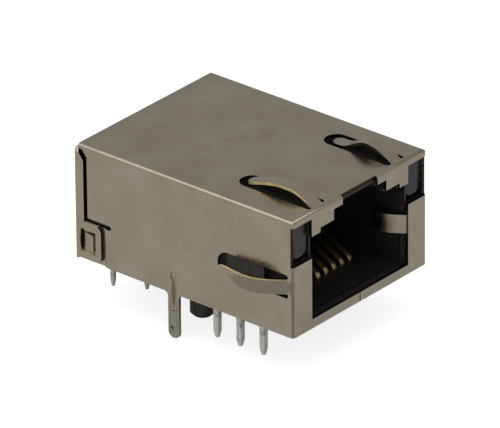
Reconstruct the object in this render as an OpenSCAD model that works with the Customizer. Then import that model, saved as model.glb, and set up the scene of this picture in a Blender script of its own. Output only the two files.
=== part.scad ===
// Shielded board jack for an eight-wire modular plug, with built-in magnetics and two indicator lights.
// The front faces -Y and the origin lies on the board, midway between the two locating pegs.

/* [Shield] */
// Outside width of the front shield
shield_w = 17; // [16.4:0.1:18]
// Outside depth of the closed shield, front to back
shield_d = 22.6; // [21.6:0.1:24.5]
// Height of the shield above the board
shield_h = 10.4; // [10.2:0.1:11.4]
// Thickness of the shield metal
sheet_t = 0.25; // [0.2:0.01:0.3]
// Outer radius of the folded edges
bend_r = 0.35; // [0.3:0.05:0.5]
// Height of the two bars under the plug opening
sill_h = 0.82; // [0.7:0.02:0.95]
// Open seam where the two bars meet
seam_gap = 0.06; // [0.04:0.01:0.2]

/* [Plug opening] */
// Width of the opening in the shield
opening_w = 12.2; // [11.9:0.1:12.4]
// Height of the opening above the bars, at its full width
opening_h = 7.42; // [7.2:0.02:7.6]
// Width of the first step above the full width
step_w = 10.04; // [9.4:0.02:11]
// Height of the first step
step_h = 0.42; // [0.3:0.02:0.6]
// Width of the latch keyway
keyway_w = 6.64; // [6.2:0.02:7.2]
// Height of the latch keyway
keyway_h = 0.96; // [0.7:0.02:1.1]
// Width of the gap in the front flange above the keyway
flange_gap_w = 4.4; // [3.6:0.1:5]
// How far the plastic stands inside each edge of the opening
plastic_reveal = 0.12; // [0.05:0.01:0.2]
// Depth of the plug cavity behind the front face
cavity_d = 12.9; // [12.4:0.1:13.3]

/* [Lights] */
// Height of the light windows above the board
window_z = 6.3; // [6:0.05:6.6]
// Height of the flange band above each light window
window_band = 0.58; // [0.4:0.02:0.6]
// Length of each light behind its window
light_len = 3.0; // [2.6:0.1:3.3]
// Width of a light's wire leads
lead_w = 0.5; // [0.4:0.02:0.56]
// Distance from the front face to the first lead
lead_front = 3.95; // [3.8:0.05:4.2]
// Pitch of the three leads along the depth
lead_pitch = 2.42; // [2.3:0.02:2.6]
// Distance of the leads from the outside of the shield
lead_inset = 1.03; // [0.9:0.01:1.1]

/* [Spring fingers] */
// Width of each grounding finger
finger_w = 1.2; // [0.9:0.05:1.3]
// Width of the slot beside each finger
finger_slot = 0.45; // [0.3:0.01:0.5]
// Distance from the front face to the roots of the fingers
finger_root = 0.5; // [0.5:0.02:0.8]
// Gap between the tip of each finger and the end of its slot
finger_gap = 0.85; // [0.4:0.05:1]
// Length of the left top finger from root to tip
left_len = 6.95; // [6:0.05:7.2]
// Length of the right top finger from root to tip
right_len = 6.4; // [6:0.05:7]
// Length of the side fingers from root to tip
side_len = 6.5; // [6:0.05:7]
// Half the distance between the top fingers
top_finger_x = 5.0; // [4.7:0.05:5.1]
// How far the pair of top fingers sits right of the middle
top_finger_shift = 0.2; // [0:0.05:0.25]
// Height of the side fingers above the board
side_finger_z = 4.5; // [4.2:0.05:4.8]
// How high the left top finger bows
left_bow = 1.0; // [0.6:0.05:1.3]
// How high the right top finger bows
right_bow = 1.0; // [0.6:0.05:1.3]
// How far the side fingers spring out
side_bow = 1.6; // [0.8:0.05:1.8]
// Width of the ground springs inside the opening
ground_w = 1.65; // [1.5:0.05:2]
// Middle height of the ground springs
ground_z = 4.5; // [4.2:0.05:4.8]
// Depth that the ground springs reach into the opening
ground_len = 2.8; // [2.4:0.05:3]
// How far the ground springs lean into the opening
ground_lean = 1.25; // [1:0.05:1.35]

/* [Board side] */
// Distance from the front face to the locating pegs
peg_setback = 11.3; // [11.1:0.05:11.5]
// Distance between the two locating pegs
peg_span = 12.7; // [12.4:0.05:13]
// Diameter of the locating pegs
peg_d = 2.1; // [1.9:0.05:2.3]
// Length of the locating pegs below the board
peg_len = 2.3; // [1.8:0.05:2.5]
// Length of the pins and leads below the board
pin_len = 3.1; // [2.8:0.05:3.4]
// Thickness of the signal pins
pin_t = 0.36; // [0.3:0.02:0.46]
// Pitch of the signal pins in a row, and between the rows
pin_pitch = 2.54; // [2.5:0.01:2.6]
// Number of signal pins in each of the two rows
pins_per_row = 5; // [5:1:5]
// Distance from the rear face to the rear row of pins
pin_rear = 1.45; // [1.2:0.05:1.6]
// How far the pins sit left of the middle
pin_shift = 0.3; // [0:0.05:0.4]
// Distance from the peg line back to the shield tails
tail_y = 1.27; // [1.1:0.01:2]
// Width of the shield tails
tail_w = 1.15; // [1:0.05:1.4]
// Length of the shield tails below the board
tail_len = 4.05; // [3.5:0.05:4.2]

/* [Rear cover] */
// How far the rear cover stands proud of the shield sides
cover_proud = 0.08; // [0.05:0.01:0.12]
// How far the back of the rear cover stands behind the shield's top
cover_set = 0.42; // [0.36:0.02:0.5]
// Width of the rear cover's side strip
strip_w = 1.05; // [0.95:0.01:1.15]
// Gap between the strip and the shield side
strip_gap = 0.34; // [0.2:0.02:0.34]
// Length of the latch tab along the side
tab_len = 2.84; // [2.75:0.01:2.95]
// Height of the top of the latch tab above the board
tab_top = 3.5; // [3.3:0.05:3.7]
// Height of the slot above the latch tab
tab_slot = 0.42; // [0.3:0.02:0.5]

/* [Contacts] */
// Number of contacts
contact_count = 8; // [8:1:8]
// Pitch of the contacts
contact_pitch = 1.016; // [1.0:0.002:1.03]
// Thickness of the contact strip
contact_t = 0.32; // [0.28:0.01:0.36]
// Width of the contact strip
contact_w = 0.48; // [0.4:0.01:0.56]
// Distance from the front face to the contact knees
knee_y = 3.9; // [3.6:0.05:4.3]
// Outer radius of the contact knees
knee_r = 0.6; // [0.5:0.01:0.7]
// Rise of the contact arms, in degrees
arm_rise = 27; // [23:0.5:28]
// How far the contact arms reach into their guides
guide_reach = 0.4; // [0.2:0.05:0.6]

/* [Magnetics] */
// Thickness of the inner circuit board
board_t = 0.8; // [0.6:0.05:1]
// Outer diameter of the ferrite rings
ring_od = 2.9; // [2.6:0.05:3]
// Inner diameter of the ferrite rings
ring_id = 1.5; // [1.4:0.05:1.6]
// Thickness of the ferrite rings
ring_t = 1.5; // [1.3:0.05:1.7]
// Number of wire turns on each ring
ring_turns = 9; // [6:1:10]
// Diameter of the winding wire
wire_d = 0.22; // [0.16:0.02:0.24]
// Width of the line capacitor
capacitor_w = 4.5; // [3.8:0.1:5]
// Thickness of the line capacitor
capacitor_t = 1.2; // [1:0.05:1.4]
// Width of a termination resistor
resistor_w = 0.8; // [0.6:0.05:0.9]
// Thickness of a termination resistor
resistor_t = 0.45; // [0.35:0.05:0.6]
// Height of the capacitor and the resistors on the inner board
chip_h = 1.6; // [1.4:0.05:1.8]

/* [Hidden] */
$fn = 48;

nickel = "#9a9484";
black_plastic = "#1c1c1c";
smoke_lens = "#3c3a38";
tin = "#c9c9c6";
gold = "#c9a24a";
laminate = "#2f5d3a";
ferrite = "#3a3a3c";
copper = "#a5602c";
ceramic = "#b9a88a";

fit = 0.05;                 // clearance between pieces that slide together
over = 1;                   // how far a cutter runs past what it cuts
front_y = -peg_setback;
rear_y = front_y + shield_d;
cover_back = rear_y + cover_set;
half_w = shield_w / 2;
inner_half = half_w - sheet_t;
inner_top = shield_h - sheet_t;

opening_top = sill_h + opening_h;
step_top = opening_top + step_h;
keyway_top = step_top + keyway_h;
window_top = shield_h - window_band;

body_half = inner_half - fit;
body_front = front_y + sheet_t + fit;
body_rear = cover_back - sheet_t - fit;
body_top = inner_top - fit;
cavity_end = front_y + cavity_d;
pocket_half = body_half - 0.75;
pocket_top = body_top - 0.7;

light_half = (inner_half - opening_w / 2 - 3 * fit) / 2;
light_x = inner_half - fit - light_half;
light_z = window_z + 0.4;
light_top = window_top + 0.1;
light_front = body_front + 0.15;
light_rear = light_front + light_len;
lead_x = half_w - lead_inset;
lead_channel = lead_w + 2 * fit;

slot_w = finger_w + 2 * finger_slot;
left_x = top_finger_shift - top_finger_x;
right_x = top_finger_shift + top_finger_x;
relief_d = 0.7;             // depth of the plastic relief under each finger
left_shape = [0.36, 0.45, 1.2];
right_shape = [0.42, 0.43, 0.84];
side_shape = [0.5, 0.56, 0.94];
pocket_len = 3;             // length of the deeper pocket behind the root of each side finger
pocket_d = 1.0;             // depth of that pocket
shallow_d = 0.3;            // depth of the relief behind the rest of a side finger

strip_y = cover_back - strip_w;
tab_y = cover_back - tab_len;
joggle = sheet_t - cover_proud;
joggle_y = tab_y - 0.2;
joggle_run = 0.35;
side_end = strip_y - strip_gap;
slot_z = tab_top + tab_slot / 2;
slot_front = tab_y - 1.05;
notch_z = shield_h - 0.72;  // top of the gap beside the rear cover
notch_end = shield_h - 1.34;

wire_z = sill_h - contact_t / 2 - 0.12;
knee_mid = knee_r - contact_t / 2;
knee_z = wire_z + knee_mid;
arm_y = front_y + knee_y + knee_r;
arm_root = [arm_y - knee_mid * sin(arm_rise), knee_z + knee_mid * cos(arm_rise)];
arm_run = cavity_end + guide_reach - arm_root[0];
arm_len = arm_run / cos(arm_rise);
arm_tip = arm_root + arm_run * [1, tan(arm_rise)];
slot_half_w = contact_w / 2 + fit;
slot_half_t = contact_t / 2 + fit;
turn_y = cavity_end + 0.7;  // where the contacts turn up behind the cavity

carrier_front = cavity_end;
carrier_d = 1.9;
carrier_rear = carrier_front + carrier_d;
carrier_half = pocket_half - fit;
board_front = carrier_rear + fit;
board_rear = board_front + board_t;
board_z = 0.5;
board_top = pocket_top - fit;
base_front = board_rear + fit;
base_rear = body_rear - fit;
base_half = pocket_half - fit;
base_floor = 1.2;
base_wall = 0.4;
base_top = 3.4;
pin_row_y = [rear_y - pin_rear, rear_y - pin_rear - pin_pitch];
pin_top = base_floor + 0.9;
ring_z = pin_top + ring_od / 2 + wire_d + 0.3;
ring_mid_y = (base_front + base_rear) / 2;
ring_pitch = (2 * base_half - 2 * base_wall) / 4;

function ease(u) = u <= 0 ? 0 : u >= 1 ? 1 : u * u * (3 - 2 * u);

// Height of a bowed finger at the share u of its length; shape gives the shares where it is up, starts down and is down
function bow(u, peak, shape, tip) =
    u < shape[0] ? peak * sin(90 * u / shape[0]) : peak - (peak - tip) * ease((u - shape[1]) / (shape[2] - shape[1]));

// Places a profile drawn in depth and height, with its thickness along X
module across_x(width) {
    rotate([90, 0, 90])
        linear_extrude(width, center = true)
            children();
}

// Places a profile drawn in width and height, running back from the given depth
module along_y(start, end) {
    translate([0, end, 0])
        rotate([90, 0, 0])
            linear_extrude(end - start)
                children();
}

module both_sides() {
    children();
    mirror([1, 0, 0]) children();
}

// Plain box given by its lowest and highest corners
module span(low, high) {
    translate(low) cube(high - low);
}

// Rectangle with its two far corners rounded
module capped_rect(width, height, radius) {
    translate([-width / 2, 0]) square([width, height - radius]);
    translate([-width / 2 + radius, height - radius - fit]) square([width - 2 * radius, radius + fit]);
    for (side = [-1, 1]) translate([side * (width / 2 - radius), height - radius]) circle(radius);
}

// Block with its top, front and side folds rounded, as bent sheet leaves them
module folded_block(half, start, end, low, top, radius) {
    intersection() {
        along_y(start, end)
            translate([0, low]) capped_rect(2 * half, top - low, radius);
        translate([0, end, low])
            linear_extrude(top - low)
                rotate(180) capped_rect(2 * half, end - start, radius);
        across_x(2 * half + over)
            union() {
                translate([start, low]) square([end - start, top - low - radius]);
                translate([start + radius, low]) square([end - start - radius, top - low]);
                translate([start + radius, top - radius]) circle(radius);
            }
    }
}

// Outline of the plug opening, from one edge inset to the next
module opening_outline(inset, top) {
    low = sill_h + inset;
    translate([-opening_w / 2 + inset, low]) square([opening_w - 2 * inset, opening_top - inset - low]);
    translate([-step_w / 2 + inset, low]) square([step_w - 2 * inset, step_top - inset - low]);
    translate([-keyway_w / 2 + inset, low]) square([keyway_w - 2 * inset, keyway_top - inset - low]);
    translate([-flange_gap_w / 2 + inset, low]) square([flange_gap_w - 2 * inset, top - low]);
}

// Straight slot with a round far end, cut round one finger
module finger_slot_cut(depth, length) {
    side_r = finger_slot / 2;
    end_y = length + finger_gap - slot_w / 2;
    translate([0, finger_root, -depth])
        linear_extrude(depth + over) {
            translate([-slot_w / 2, side_r]) square([slot_w, end_y - side_r]);
            translate([0, end_y]) circle(slot_w / 2);
            for (side = [-1, 1]) translate([side * (slot_w / 2 - side_r), side_r]) circle(side_r);
        }
}

// One grounding finger on a sheet whose outer face is at z = 0, rooted at the front
module finger(length, peak, shape, tip) {
    steps = 24;
    hold = 0.3;             // length shared with the sheet at the root
    face = [for (i = [0:steps]) [length * i / steps, bow(i / steps, peak, shape, tip)]];
    under = [for (i = [steps:-1:0]) [face[i][0], face[i][1] - sheet_t]];
    translate([0, finger_root, 0])
        intersection() {
            across_x(finger_w)
                polygon(concat([[-hold, 0]], face, under, [[-hold, -sheet_t]]));
            translate([0, -hold, -over])
                linear_extrude(peak + 2 * over) {
                    translate([-finger_w / 2, 0]) square([finger_w, length + hold - finger_w / 2]);
                    translate([0, length + hold - finger_w / 2]) circle(finger_w / 2);
                }
        }
}

// Moves a finger or its slot from the drawing plane to the top face
module on_top(x) {
    translate([x, front_y, shield_h]) children();
}

// Moves a finger or its slot from the drawing plane to the left side face
module on_left() {
    translate([-half_w, front_y, side_finger_z]) rotate([0, -90, 0]) children();
}

// Side outline of the rear cover: a narrow strip above and a latch tab below
module cover_side_outline(grow, crown = 0) {
    corner = 0.6;
    back = rear_y + over;
    polygon([
        [back, tab_top - over], [strip_y - grow, tab_top - over], [strip_y - grow, notch_end + grow],
        [rear_y - 0.15 - grow, notch_z + grow], [back, notch_z + grow + crown]
    ]);
    translate([tab_y - grow, 0.15 - grow + corner]) square([back - tab_y + grow, tab_top - 0.15 + 2 * grow - 2 * corner]);
    translate([tab_y - grow + corner, 0.15 - grow]) square([back - tab_y + grow - corner, tab_top - 0.15 + 2 * grow]);
    for (z = [0.15 - grow + corner, tab_top + grow - corner]) translate([tab_y - grow + corner, z]) circle(corner);
}

// Board tail of the shield, with a round tip, filleted shoulders and a stiffening rib
module shield_tail() {
    fillet = 0.4;
    rib_r = 0.38;
    rib_proud = 0.2;
    rib_top = 1.5;
    translate([-half_w + sheet_t / 2, tail_y, 0])
        across_x(sheet_t)
            union() {
                translate([-tail_w / 2, -tail_len + tail_w / 2]) square([tail_w, tail_len - tail_w / 2 + sheet_t]);
                translate([0, -tail_len + tail_w / 2]) circle(tail_w / 2);
                for (side = [-1, 1])
                    difference() {
                        translate([side * (tail_w / 2 + fillet / 2) - fillet / 2, -fillet]) square([fillet, fillet + sheet_t]);
                        translate([side * (tail_w / 2 + fillet), -fillet]) circle(fillet);
                    }
            }
    translate([-half_w + rib_r - rib_proud, tail_y, -tail_len + tail_w]) {
        intersection() {
            union() {
                cylinder(h = tail_len - tail_w + rib_top, r = rib_r);
                translate([0, 0, tail_len - tail_w + rib_top]) sphere(rib_r);
            }
            span([-rib_r - over, -over, -over], [-rib_r + rib_proud + sheet_t / 2, over, tail_len + over]);
        }
    }
}

// Side of the shield behind the latch tab, set inwards by one step
module joggled_side() {
    flat_x = -half_w;
    set_x = flat_x + joggle;
    end_y = body_rear - 0.15;
    root_y = joggle_y - joggle_run;
    linear_extrude(tab_top)
        polygon([
            [flat_x, root_y - fit], [flat_x, root_y], [set_x, joggle_y], [set_x, end_y],
            [set_x + sheet_t, end_y], [set_x + sheet_t, joggle_y], [flat_x + sheet_t, root_y], [flat_x + sheet_t, root_y - fit]
        ]);
}

// Sloped latch boss that stands in the tab's window
module latch_boss() {
    boss_w = 1.1;
    boss_h = 1.5;
    mid_z = 1.75;
    rise = sheet_t + 0.02;
    face_x = -half_w + joggle;
    mid_y = tab_y + 1.36;
    translate([0, mid_y, mid_z])
        linear_extrude(boss_h, center = true)
            polygon([[face_x + 0.1, -boss_w / 2], [face_x - rise, -boss_w / 2], [face_x - 0.05, boss_w / 2], [face_x + 0.1, boss_w / 2]]);
}

// Ground spring that curves from a front pillar back into the opening
module ground_spring() {
    steps = 12;
    edge_x = -opening_w / 2;
    face = [for (i = [0:steps]) [edge_x + ground_lean * sin(90 * i / steps), front_y + fit + (ground_len - fit) * i / steps]];
    back = [for (i = [steps:-1:1]) [face[i][0] - sheet_t, face[i][1]]];
    translate([0, 0, ground_z - ground_w / 2])
        linear_extrude(ground_w)
            polygon(concat([[edge_x - sheet_t, front_y + fit]], face, back, [[edge_x - sheet_t, front_y + sheet_t]]));
}

module front_shield() {
    color(nickel) {
        difference() {
            folded_block(half_w, front_y, rear_y, 0, shield_h, bend_r);
            folded_block(inner_half, front_y + sheet_t, rear_y + over, -over, inner_top, bend_r - sheet_t);
            along_y(front_y - over, front_y + sheet_t)
                opening_outline(0, shield_h + over);
            both_sides()
                span([opening_w / 2, front_y - over, window_z], [half_w + over, front_y + sheet_t, window_top]);
            span([-seam_gap / 2, front_y - over, -over], [seam_gap / 2, front_y + sheet_t + over, sill_h + over]);
            on_top(left_x) finger_slot_cut(sheet_t + fit, left_len);
            on_top(right_x) finger_slot_cut(sheet_t + fit, right_len);
            both_sides() {
                on_left() finger_slot_cut(sheet_t + fit, side_len);
                translate([-half_w, 0, 0])
                    across_x(2 * bend_r + over)
                        union() {
                            cover_side_outline(strip_gap);
                            translate([joggle_y - joggle_run, -over]) square([shield_d, tab_top + over]);
                            translate([slot_front + tab_slot / 2, tab_top]) square([shield_d, tab_slot]);
                            translate([slot_front + tab_slot / 2, slot_z]) circle(tab_slot / 2);
                        }
            }
        }
        on_top(left_x) finger(left_len, left_bow, left_shape, 0);
        on_top(right_x) finger(right_len, right_bow, right_shape, 0);
        both_sides() {
            on_left() finger(side_len, side_bow, side_shape, side_bow - 0.25);
            ground_spring();
            shield_tail();
            joggled_side();
            latch_boss();
        }
    }
}

module rear_shield() {
    cover_half = half_w + cover_proud;
    cover_top = inner_top - fit;
    window_y = tab_y + 0.57;
    window_len = 1.6;
    window_low = 0.75;
    window_h = 2.1;
    crown = 1.25;
    corner_cut = 0.45;
    color(nickel)
        difference() {
            mirror([0, 1, 0])
                folded_block(cover_half, -cover_back, -tab_y + over, 0, cover_top, bend_r);
            mirror([0, 1, 0])
                folded_block(cover_half - sheet_t, -cover_back + sheet_t, -tab_y + 2 * over, -over, shield_h + over, bend_r - sheet_t);
            both_sides()
                translate([-half_w, 0, 0])
                    across_x(2 * bend_r)
                        difference() {
                            translate([tab_y - 2 * over, -over]) square([tab_len + 2 * over - bend_r, shield_h + 2 * over]);
                            cover_side_outline(0, crown);
                        }
            both_sides()
                union() {
                    span([-cover_half - over, window_y, window_low], [-inner_half + sheet_t, window_y + window_len, window_low + window_h]);
                    along_y(rear_y - sheet_t, cover_back + over)
                        polygon([
                            [-cover_half - over, shield_h], [-cover_half - over, cover_top - corner_cut], [-cover_half, cover_top - corner_cut],
                            [-cover_half + corner_cut, cover_top], [-cover_half + corner_cut, shield_h]
                        ]);
                }
        }
}

// Grooves in the housing wall that hold one light's three leads
module lead_channels() {
    for (k = [0:2]) {
        y = front_y + lead_front + k * lead_pitch;
        z = lead_level(k);
        span([-lead_x - lead_channel / 2, y - lead_channel / 2, -over], [-lead_x + lead_channel / 2, y + lead_channel / 2, z + lead_channel / 2]);
        span([-lead_x - lead_channel / 2, light_rear - over, z - lead_channel / 2], [-lead_x + lead_channel / 2, y + lead_channel / 2, z + lead_channel / 2]);
    }
}

function lead_level(k) = light_z + 0.55 + k * (light_top - light_z - 1.1) / 2;

// Lead-in cut round the mouth of the plug cavity
module lead_in_cut() {
    depth = 0.42;
    half = opening_w / 2 - plastic_reveal;
    floor_z = sill_h + plastic_reveal;
    both_sides()
        translate([0, 0, floor_z])
            linear_extrude(window_z - 0.2 - floor_z)
                polygon([
                    [-half + over, body_front + depth], [-half, body_front + depth], [-half - depth, body_front],
                    [-half - depth, body_front - over], [-half + over, body_front - over]
                ]);
    across_x(2 * half)
        polygon([
            [body_front + depth, floor_z + over], [body_front + depth, floor_z], [body_front, floor_z - depth],
            [body_front - over, floor_z - depth], [body_front - over, floor_z + over]
        ]);
}

module housing() {
    chamfer = 0.3;
    color(black_plastic) {
        difference() {
            folded_block(body_half, body_front, body_rear, 0, body_top, bend_r - sheet_t);
            along_y(body_front - over, cavity_end)
                opening_outline(plastic_reveal, body_top - 0.3);
            lead_in_cut();
            span([-pocket_half, cavity_end - fit, -over], [pocket_half, body_rear + over, pocket_top]);
            on_top(left_x) finger_slot_cut(sheet_t + fit + relief_d, left_len);
            on_top(right_x) finger_slot_cut(sheet_t + fit + relief_d, right_len);
            both_sides() {
                on_left() finger_slot_cut(sheet_t + fit + shallow_d, side_len);
                on_left()
                    span([-slot_w / 2, finger_root, -sheet_t - pocket_d], [slot_w / 2, finger_root + pocket_len, over]);
                span(
                    [-light_x - light_half - over, body_front - over, window_z],
                    [-light_x + light_half + fit, light_rear + fit, light_top + fit]
                );
                lead_channels();
                span(
                    [-opening_w / 2 - 0.35, body_front - over, ground_z - ground_w / 2 - fit],
                    [-opening_w / 2 + over, front_y + ground_len + fit, ground_z + ground_w / 2 + fit]
                );
                translate([-inner_half, 0, 0])
                    span([-over, joggle_y - joggle_run - fit, -over], [joggle + fit, body_rear + over, tab_top + fit]);
                span([-body_half - over, body_rear - over, -over], [-body_half + cover_proud, body_rear + over, body_top + over]);
            }
            for (k = [1:contact_count])
                contact_cut(k, arm_y - knee_r - fit, cavity_end, wire_z - slot_half_t, sill_h + over);
        }
        for (side = [-1, 1])
            translate([side * peg_span / 2, 0, -peg_len]) {
                cylinder(h = chamfer, d1 = peg_d - 2 * chamfer, d2 = peg_d);
                translate([0, 0, chamfer]) cylinder(h = peg_len - chamfer + sill_h / 2, d = peg_d);
            }
    }
}

function contact_x(k) = (k - (contact_count + 1) / 2) * contact_pitch;

// Height at which a contact's tail passes through the circuit board
function tail_z(k) = k % 2 == 0 ? 1.5 : 2.9;

// Straight run of contact wire between two points in depth and height
module wire_run(from, to) {
    translate(from)
        rotate(atan2(to[1] - from[1], to[0] - from[0]))
            translate([0, -contact_t / 2]) square([norm(to - from), contact_t]);
}

module contact(k) {
    reach = 3 * knee_r;
    board_end = board_rear + 0.35;
    color(gold)
        translate([contact_x(k), 0, 0])
            across_x(contact_w)
                union() {
                    translate([arm_y, knee_z]) {
                        difference() {
                            circle(knee_r);
                            circle(knee_r - contact_t);
                            translate([0, -reach]) square([reach, 2 * reach]);
                            rotate(arm_rise) square(reach);
                        }
                        rotate(arm_rise) translate([0, knee_r - contact_t]) square([arm_len, contact_t]);
                        translate([0, -knee_r]) square([turn_y - arm_y, contact_t]);
                    }
                    translate([turn_y, wire_z]) circle(contact_t / 2);
                    wire_run([turn_y, wire_z], [turn_y, tail_z(k)]);
                    translate([turn_y, tail_z(k)]) circle(contact_t / 2);
                    wire_run([turn_y, tail_z(k)], [board_end, tail_z(k)]);
                }
}

// Cuts a slot for one contact, between two depths and two heights
module contact_cut(k, start, end, low, high) {
    span([contact_x(k) - slot_half_w, start, low], [contact_x(k) + slot_half_w, end, high]);
}

// Block behind the cavity that turns the contacts up and guides the ends of their arms
module contact_carrier() {
    half = slot_half_t;
    color(black_plastic)
        difference() {
            span([-carrier_half, carrier_front, 0], [carrier_half, carrier_rear, pocket_top - fit]);
            for (k = [1:contact_count]) {
                contact_cut(k, carrier_front - over, turn_y + half, wire_z - half, tail_z(k) + half);
                contact_cut(k, carrier_front, carrier_rear + over, tail_z(k) - half, tail_z(k) + half);
                contact_cut(k, carrier_front - over, cavity_end + guide_reach + 0.3, arm_tip[1] - 1, arm_tip[1] + 0.7);
            }
        }
}

module circuit_board() {
    hole_d = norm([contact_w, contact_t]) + 2 * fit;
    color(laminate)
        difference() {
            span([-carrier_half, board_front, board_z], [carrier_half, board_rear, board_top]);
            for (k = [1:contact_count])
                translate([contact_x(k), board_front - over, tail_z(k)])
                    rotate([-90, 0, 0]) cylinder(h = board_t + 2 * over, d = hole_d);
        }
}

// Open tray that carries the signal pins and holds the wound rings
module pin_base() {
    color(black_plastic)
        difference() {
            span([-base_half, base_front, 0], [base_half, base_rear, base_top]);
            span([-base_half + base_wall, base_front - over, base_floor], [base_half - base_wall, base_rear - base_wall, base_top + over]);
            for (k = [1:2 * pins_per_row])
                translate([pin_x(k), pin_y(k), 0])
                    cube([pin_t + 2 * fit, pin_t + 2 * fit, 4 * base_top], center = true);
        }
}

function pin_y(k) = pin_row_y[(k + 1) % 2];
function pin_x(k) = ((k - 1) - (2 * pins_per_row - 1) / 2) * pin_pitch / 2 - pin_shift;

// Square pin with a tapered tip, from the given height down through the board
module square_pin(width, top, length) {
    shoulder = -length + 0.6;
    half = width / 2;
    tip = 0.55 * half;
    side = [[-tip, -length], [tip, -length], [half, shoulder], [half, top], [-half, top], [-half, shoulder]];
    intersection() {
        across_x(width) polygon(side);
        rotate(90) across_x(width) polygon(side);
    }
}

module signal_pin(k) {
    color(tin)
        translate([pin_x(k), pin_y(k), 0]) square_pin(pin_t, pin_top, pin_len);
}

// Light: a moulded block with its two lower edges and its front corners rounded off
module light_left() {
    lower_r = 0.85 * light_half;
    front_r = 0.6 * light_half;
    color(smoke_lens)
        intersection() {
            along_y(light_front, light_rear)
                translate([-light_x, light_top])
                    mirror([0, 1]) capped_rect(2 * light_half, light_top - light_z, lower_r);
            translate([-light_x, light_rear + over, light_z - over])
                linear_extrude(light_top - light_z + 2 * over)
                    mirror([0, 1]) capped_rect(2 * light_half + over, light_len + over, front_r);
        }
}

module light_right() {
    mirror([1, 0, 0]) light_left();
}

// One lead: back from the light, round a bend and down through the board
module lead_left(k) {
    y = front_y + lead_front + (k - 1) * lead_pitch;
    z = lead_level(k - 1);
    color(tin)
        translate([-lead_x, 0, 0]) {
            span([-lead_w / 2, light_rear, z - lead_w / 2], [lead_w / 2, y, z + lead_w / 2]);
            translate([0, y, 0]) square_pin(lead_w, z + lead_w / 2, pin_len);
        }
}

module ferrite_ring(k) {
    color(ferrite)
        at_ring(k)
            difference() {
                cylinder(h = ring_t, d = ring_od, center = true);
                cylinder(h = ring_t + over, d = ring_id, center = true);
            }
}

// Stands a ring upright in its own bay of the tray
module at_ring(k) {
    translate([(k - 2.5) * ring_pitch, ring_mid_y, ring_z]) rotate([90, 0, 0]) children();
}

// Turns of wire round a ring, each a closed loop lying on the ferrite
module winding(k) {
    inner = [(ring_od - ring_id) / 2 + fit, ring_t + fit];
    outer = inner + wire_d * [2, 2];
    color(copper)
        at_ring(k)
            for (i = [0:ring_turns - 1])
                rotate(20 + i * 320 / ring_turns)
                    translate([(ring_od + ring_id) / 4, 0, 0])
                        rotate([90, 0, 0])
                            linear_extrude(wire_d, center = true)
                                difference() {
                                    square(outer, center = true);
                                    square(inner, center = true);
                                }
}

// Chip part on the rear face of the inner board, near its upper edge
module board_chip(x, width, thickness) {
    top = board_top - 0.3;
    span([x - width / 2, board_rear, top - chip_h], [x + width / 2, board_rear + thickness, top]);
}

module line_capacitor() {
    color(ceramic) board_chip(0, capacitor_w, capacitor_t);
}

module termination_resistors() {
    first = capacitor_w / 2 + 2 * resistor_w;
    color(ceramic)
        both_sides()
            for (k = [0, 1]) board_chip(first + 2 * k * resistor_w, resistor_w, resistor_t);
}

front_shield();
rear_shield();
housing();
contact_carrier();
circuit_board();
pin_base();
light_left();
light_right();
for (k = [1:3]) {
    lead_left(k);
    mirror([1, 0, 0]) lead_left(k);
}
for (k = [1:8]) contact(k);
for (k = [1:10]) signal_pin(k);
for (k = [1:4]) ferrite_ring(k);
for (k = [1:4]) winding(k);
line_capacitor();
termination_resistors();
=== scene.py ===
"""Looks of a shielded eight-wire board jack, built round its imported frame.

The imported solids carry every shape. This scene rounds their edges, splits
plated skin from bare cut edges, gives the surfaces their finishes, and sets the
jack on a pale floor in soft light.
"""

import logging
import math
from dataclasses import dataclass, field, replace
from enum import Enum

import bmesh
import bpy
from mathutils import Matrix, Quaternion, Vector
from mathutils.bvhtree import BVHTree
from mathutils.geometry import tessellate_polygon


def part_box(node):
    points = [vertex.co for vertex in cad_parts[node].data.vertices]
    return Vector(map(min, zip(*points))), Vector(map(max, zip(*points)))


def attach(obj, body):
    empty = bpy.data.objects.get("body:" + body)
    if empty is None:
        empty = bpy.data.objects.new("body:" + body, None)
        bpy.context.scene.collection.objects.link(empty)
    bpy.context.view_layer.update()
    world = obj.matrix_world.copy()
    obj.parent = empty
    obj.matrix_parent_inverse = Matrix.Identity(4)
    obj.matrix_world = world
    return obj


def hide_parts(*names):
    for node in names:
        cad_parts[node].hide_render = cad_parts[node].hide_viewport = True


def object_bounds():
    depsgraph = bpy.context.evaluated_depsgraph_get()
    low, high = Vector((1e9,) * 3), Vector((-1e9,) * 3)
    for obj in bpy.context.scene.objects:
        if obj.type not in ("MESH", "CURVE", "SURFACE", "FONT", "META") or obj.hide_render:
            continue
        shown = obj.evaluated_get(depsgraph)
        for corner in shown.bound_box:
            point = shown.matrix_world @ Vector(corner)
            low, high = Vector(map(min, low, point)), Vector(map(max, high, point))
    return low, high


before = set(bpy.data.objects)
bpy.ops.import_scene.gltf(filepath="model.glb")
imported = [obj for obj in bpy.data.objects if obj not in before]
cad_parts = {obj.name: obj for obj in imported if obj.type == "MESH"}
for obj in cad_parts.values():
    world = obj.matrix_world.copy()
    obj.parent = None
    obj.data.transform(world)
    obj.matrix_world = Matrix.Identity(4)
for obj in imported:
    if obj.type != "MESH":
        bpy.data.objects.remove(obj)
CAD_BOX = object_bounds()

LOG = logging.getLogger("jack")
MM = 0.001
ROOT = "root"

Color = tuple[float, float, float]
Point = tuple[float, float, float]
Socket = bpy.types.NodeSocket

SHEET_T = 0.25  # thickness of the shield metal, in millimetres
PLAY = 0.05  # clearance between the moulding and the shield, in millimetres


class Slot(str, Enum):
    """Material slots of the record."""

    NICKEL = "nickel_sheet"
    PLASTIC = "black_plastic"
    CARRIER = "carrier_plastic"
    BASE = "base_plastic"
    LAMINATE = "laminate"
    LENS = "smoke_lens"
    TINNED = "tinned_wire"
    GOLD = "gold_contact"
    FERRITE = "ferrite"
    COPPER = "enamelled_copper"
    CERAMIC = "chip_ceramic"


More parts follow.
